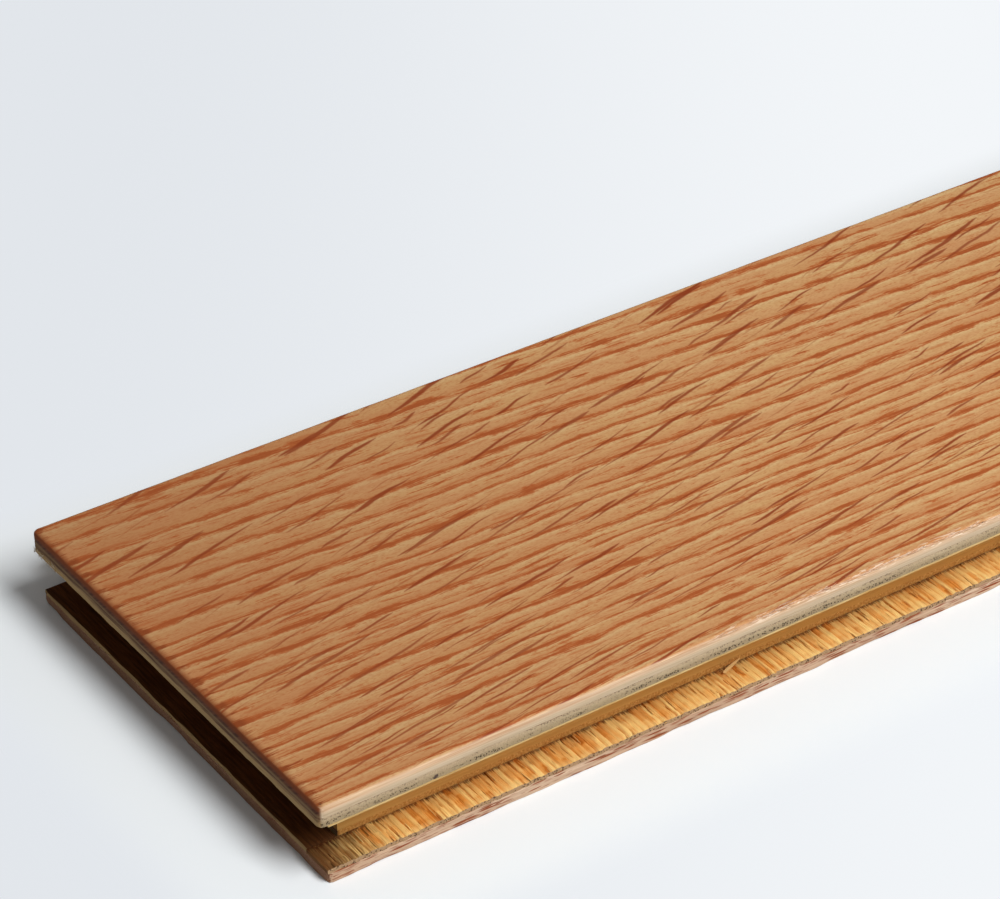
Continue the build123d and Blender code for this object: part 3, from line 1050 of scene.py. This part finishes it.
    # Partly bare worn wood and partly a painted highlight: a pale patchy line about 0.3 mm below the face's
    # top.
    off_arris = calc(tree, "ABSOLUTE", calc(tree, "SUBTRACT", below_face, 0.3))
    arris_wear_and_painted_highlight = fade(tree, patches(tree, place, (7, 1.5, 0.5)), 0.42, 0.56)
    arris_wear_and_painted_highlight = calc(tree, "MULTIPLY", arris_wear_and_painted_highlight, fade(tree, off_arris, 0.12, 0.02))
    cut = tint(tree, streaks, 1.0, srgb(212, 180, 144), srgb(184, 144, 108))
    cut = tint(tree, fade(tree, below_face, 0.7, 1.6), 0.75, cut, srgb(178, 158, 128))
    cut = tint(tree, coated, 0.5, cut, srgb(194, 138, 94))
    pale_streaks = use_group(tree, wood_fibres, place, length=16, width=0.14, seed=17)
    cut = tint(tree, pale_streaks, 0.4, cut, srgb(228, 208, 184))
    leaning = vector_calc(tree, "MULTIPLY_ADD", vector_of(tree, 0.0, axes[2]), (0, 1.4, 0), place)
    growth = fade(tree, patches(tree, leaning, (30, 0.6, 30)), 0.3, 0.7)
    end = tint(tree, growth, 1.0, srgb(106, 66, 46), srgb(76, 46, 34))
    end = tint(tree, fibres, 0.3, end, srgb(60, 36, 26))
    end = tint(tree, fade(tree, below_face, 1.3, 0.6), 0.9, end, srgb(122, 60, 28))
    end = tint(tree, fade(tree, below_face, 1.4, 1.9), 0.7, end, srgb(130, 104, 72))
    colour = tint(tree, fade(tree, facing[1], 0.5, 0.9), 1.0, face, cut)
    colour = tint(tree, arris_wear_and_painted_highlight, 0.5, colour, srgb(236, 206, 166))
    colour = tint(tree, fade(tree, facing[0], 0.5, 0.85), 1.0, colour, end)
    colour = tint(tree, frayed, 0.75, colour, srgb(238, 216, 190))
    coated_top = fade(tree, facing[2], 0.4, 0.8)
    roughness = calc(tree, "MULTIPLY_ADD", coated_top, COAT_ROUGHNESS - RAW_ROUGHNESS, RAW_ROUGHNESS)
    shader = tree.nodes["Principled BSDF"]
    shader.inputs["Specular IOR Level"].default_value = COAT_SPECULAR
    tree.links.new(roughness, shader.inputs["Roughness"])
    finish_wood(tree, colour, fibres, 0.008)
    return material


wear = Block(
    lines(wear_low[0], wear_high[0], 0.9 * MM),
    lines(wear_low[1], wear_high[1], 1.6 * MM),
    wear_low[2], wear_high[2], 0.05 * MM, 0.55 * MM, 0.8,
)
roughen(wear, 0.1 * MM, 4 * MM, 0.7 * MM, 71)
splinter_span = (wear_low[0] + SPLINTERS_FROM * MM, wear_low[0] + SPLINTERS_TO * MM)
chip(wear, ["grooved_side"], "top", 0.2 * MM, 0.6 * MM, 3 * MM, 0.5, 75, splinter_span)
soften_corners(wear, 0.3 * MM)
make_piece(
    "wear_layer_ply",
    [wear],
    make_oak_face(),
    {"top": (2, 0.4), "grooved_side": (2, 0.05), "tongued_side": (2, 0.05), "grooved_end": (1, 0.03)},
    "wear_layer",
)


# Arris splinters
# Over part of the grooved side the saw has lifted thin pale splinters along the face's arris. They lie along
# the board, each still held by the wood at one end.

arris_out = wear_low[1] + 0.05 * MM
arris_in = wear_low[1] + 0.32 * MM
arris_foot = wear_high[2] - 0.3 * MM
arris_head = wear_high[2] - 0.04 * MM
strew_blades(
    "arris_splinters",
    [
        (splinter_span[0], arris_out, arris_foot),
        (splinter_span[1], arris_out, arris_foot),
        (splinter_span[1], arris_in, arris_head),
        (splinter_span[0], arris_in, arris_head),
    ],
    (wear_low[0], wear_low[1], wear_low[2]),
    (wear_high[0], wear_high[1], wear_high[2]),
    "oak_face",
    density=6e6, shortest=0.8 * MM, longest=4.5 * MM, thinnest=0.06 * MM, widest=0.2 * MM,
    flatness=0.5, arch=0.3, lift=0.05, turn=0.3, heading=math.pi / 2, seed=9,
    wood=make_splinter_wood("splinter_wood", srgb(206, 146, 98), srgb(244, 222, 198)),
)


# Stage
# A pale floor, which away from the board glows with painted light that brightens towards the right, under
# a large soft lamp at the front right, with a dim fill that is weaker from behind, seen from the photograph's
# view.

SHADOW_REACH = 0.01
PALE_FROM = 0.022
YAW = math.radians(55.32)
near_corner = Vector((wear_low[0], wear_low[1], 0.0))


def make_floor_paint():
    """Matt pale paint; away from the board and its shadow the camera sees a glow of painted light, paler to
    the right.
    """
    material = bpy.data.materials.new("floor_paint")
    material.use_nodes = True
    tree = material.node_tree
    shader = tree.nodes["Principled BSDF"]
    shader.inputs["Base Color"].default_value = srgb(240, 245, 248)
    shader.inputs["Roughness"].default_value = 0.9
    shader.inputs["Specular IOR Level"].default_value = 0.1
    place = tree.nodes.new("ShaderNodeTexCoord").outputs["Object"]
    middle = [(low + high) / 2 for low, high in zip(*cad_bounds)]
    half = [(high - low) / 2 for low, high in zip(*cad_bounds)]
    from_middle = vector_calc(tree, "ABSOLUTE", vector_calc(tree, "SUBTRACT", place, middle))
    beyond = vector_calc(tree, "MAXIMUM", vector_calc(tree, "SUBTRACT", from_middle, half), (0, 0, 0))
    squares = axes_of(tree, vector_calc(tree, "MULTIPLY", beyond, beyond))
    distance = calc(tree, "SQRT", calc(tree, "ADD", squares[0], squares[1]))
    clear = fade(tree, distance, SHADOW_REACH, PALE_FROM)
    axes = axes_of(tree, vector_calc(tree, "SUBTRACT", place, near_corner))
    rightward = calc(tree, "MULTIPLY", axes[0], math.sin(YAW))
    rightward = calc(tree, "MULTIPLY_ADD", axes[1], -math.cos(YAW), rightward)
    # Painted light: the glow that the camera sees away from the board gets paler towards the right, as if the
    # lamp lit it there.
    painted_light_gradient = tint(tree, fade(tree, rightward, -0.06, 0.12), 1.0, srgb(226, 230, 235), srgb(243, 246, 249))
    glow = add_node(tree, "ShaderNodeEmission", {"Color": painted_light_gradient, "Strength": 1.0})
    rays = tree.nodes.new("ShaderNodeLightPath").outputs
    mirrored = calc(tree, "MAXIMUM", rays["Is Glossy Ray"], rays["Is Transmission Ray"])
    seen = calc(tree, "MAXIMUM", rays["Is Camera Ray"], mirrored)
    pale = calc(tree, "MULTIPLY", clear, seen)
    both = {0: pale, 1: shader.outputs[0], 2: glow.outputs[0]}
    shown = add_node(tree, "ShaderNodeMixShader", both)
    tree.links.new(shown.outputs[0], tree.nodes["Material Output"].inputs["Surface"])
    return material


FLOOR_REACH = 4.0
floor_mesh = bpy.data.meshes.new("floor")
floor_corners = [(-1, -1), (1, -1), (1, 1), (-1, 1)]
floor_mesh.from_pydata([(x * FLOOR_REACH, y * FLOOR_REACH, 0) for x, y in floor_corners], [], [(0, 1, 2, 3)])
floor_mesh.materials.append(make_floor_paint())
floor = bpy.data.objects.new("floor", floor_mesh)
bpy.context.scene.collection.objects.link(floor)

LAMP_DIRECTION = Vector((0.125, -0.72, 1.0)).normalized()
LAMP_DISTANCE = 1.0
FILL_BEHIND = 0.03
FILL_BEFORE = 0.25


def make_room():
    """A pale room that fills the shadows, more from the lamp's side than from behind."""
    world = bpy.data.worlds.new("room")
    world.use_nodes = True
    tree = world.node_tree
    direction = tree.nodes.new("ShaderNodeTexCoord").outputs["Generated"]
    meets = {0: direction, 1: LAMP_DIRECTION}
    towards = add_node(tree, "ShaderNodeVectorMath", meets, operation="DOT_PRODUCT").outputs["Value"]
    ends = {"Value": towards, "From Min": -1.0, "From Max": 1.0, "To Min": FILL_BEHIND, "To Max": FILL_BEFORE}
    fill = add_node(tree, "ShaderNodeMapRange", ends).outputs["Result"]
    seen = tree.nodes.new("ShaderNodeLightPath").outputs["Is Camera Ray"]
    background = tree.nodes["Background"]
    background.inputs["Color"].default_value = (1.0, 0.97, 0.94, 1.0)
    pale = calc(tree, "MULTIPLY", seen, 0.85)
    tree.links.new(calc(tree, "MAXIMUM", fill, pale), background.inputs["Strength"])
    return world


bpy.context.scene.world = make_room()

lamp_light = bpy.data.lights.new("soft_lamp", "AREA")
lamp_light.shape = "RECTANGLE"
lamp_light.size = 0.34
lamp_light.size_y = 0.6
lamp_light.energy = 10.1
lamp = bpy.data.objects.new("soft_lamp", lamp_light)
bpy.context.scene.collection.objects.link(lamp)
lamp_aim = near_corner + Vector((0.1, 0.04, 0.0))
lamp.location = lamp_aim + LAMP_DIRECTION * LAMP_DISTANCE
lamp.rotation_euler = LAMP_DIRECTION.to_track_quat("Z", "Y").to_euler()

# The camera was fitted to the board's edges in the photograph. Its place is in face widths from the
# floor under the face's near corner
PHOTO_WIDTH_PX = 1000
FOCAL_PX = 3611
PITCH = math.radians(33.58)
ROLL = math.radians(0.24)
EYE_IN_FACE_WIDTHS = Vector((-2.423, -4.039, 4.014))
ahead = Vector((math.cos(PITCH) * math.cos(YAW), math.cos(PITCH) * math.sin(YAW), -math.sin(PITCH)))
level_right = Vector((math.sin(YAW), -math.cos(YAW), 0))
level_down = ahead.cross(level_right)
right = level_right * math.cos(ROLL) + level_down * math.sin(ROLL)
up = level_right * math.sin(ROLL) - level_down * math.cos(ROLL)
lens = bpy.data.cameras.new("photo_view")
lens.sensor_width = 36
lens.lens = lens.sensor_width * FOCAL_PX / PHOTO_WIDTH_PX
lens.clip_start = 0.01
camera = bpy.data.objects.new("photo_view", lens)
bpy.context.scene.collection.objects.link(camera)
turn = Matrix((right, up, -ahead)).transposed().to_4x4()
turn.translation = near_corner + EYE_IN_FACE_WIDTHS * FACE_WIDTH
camera.matrix_world = turn
bpy.context.scene.camera = camera
bpy.context.scene.view_settings.view_transform = "Standard"
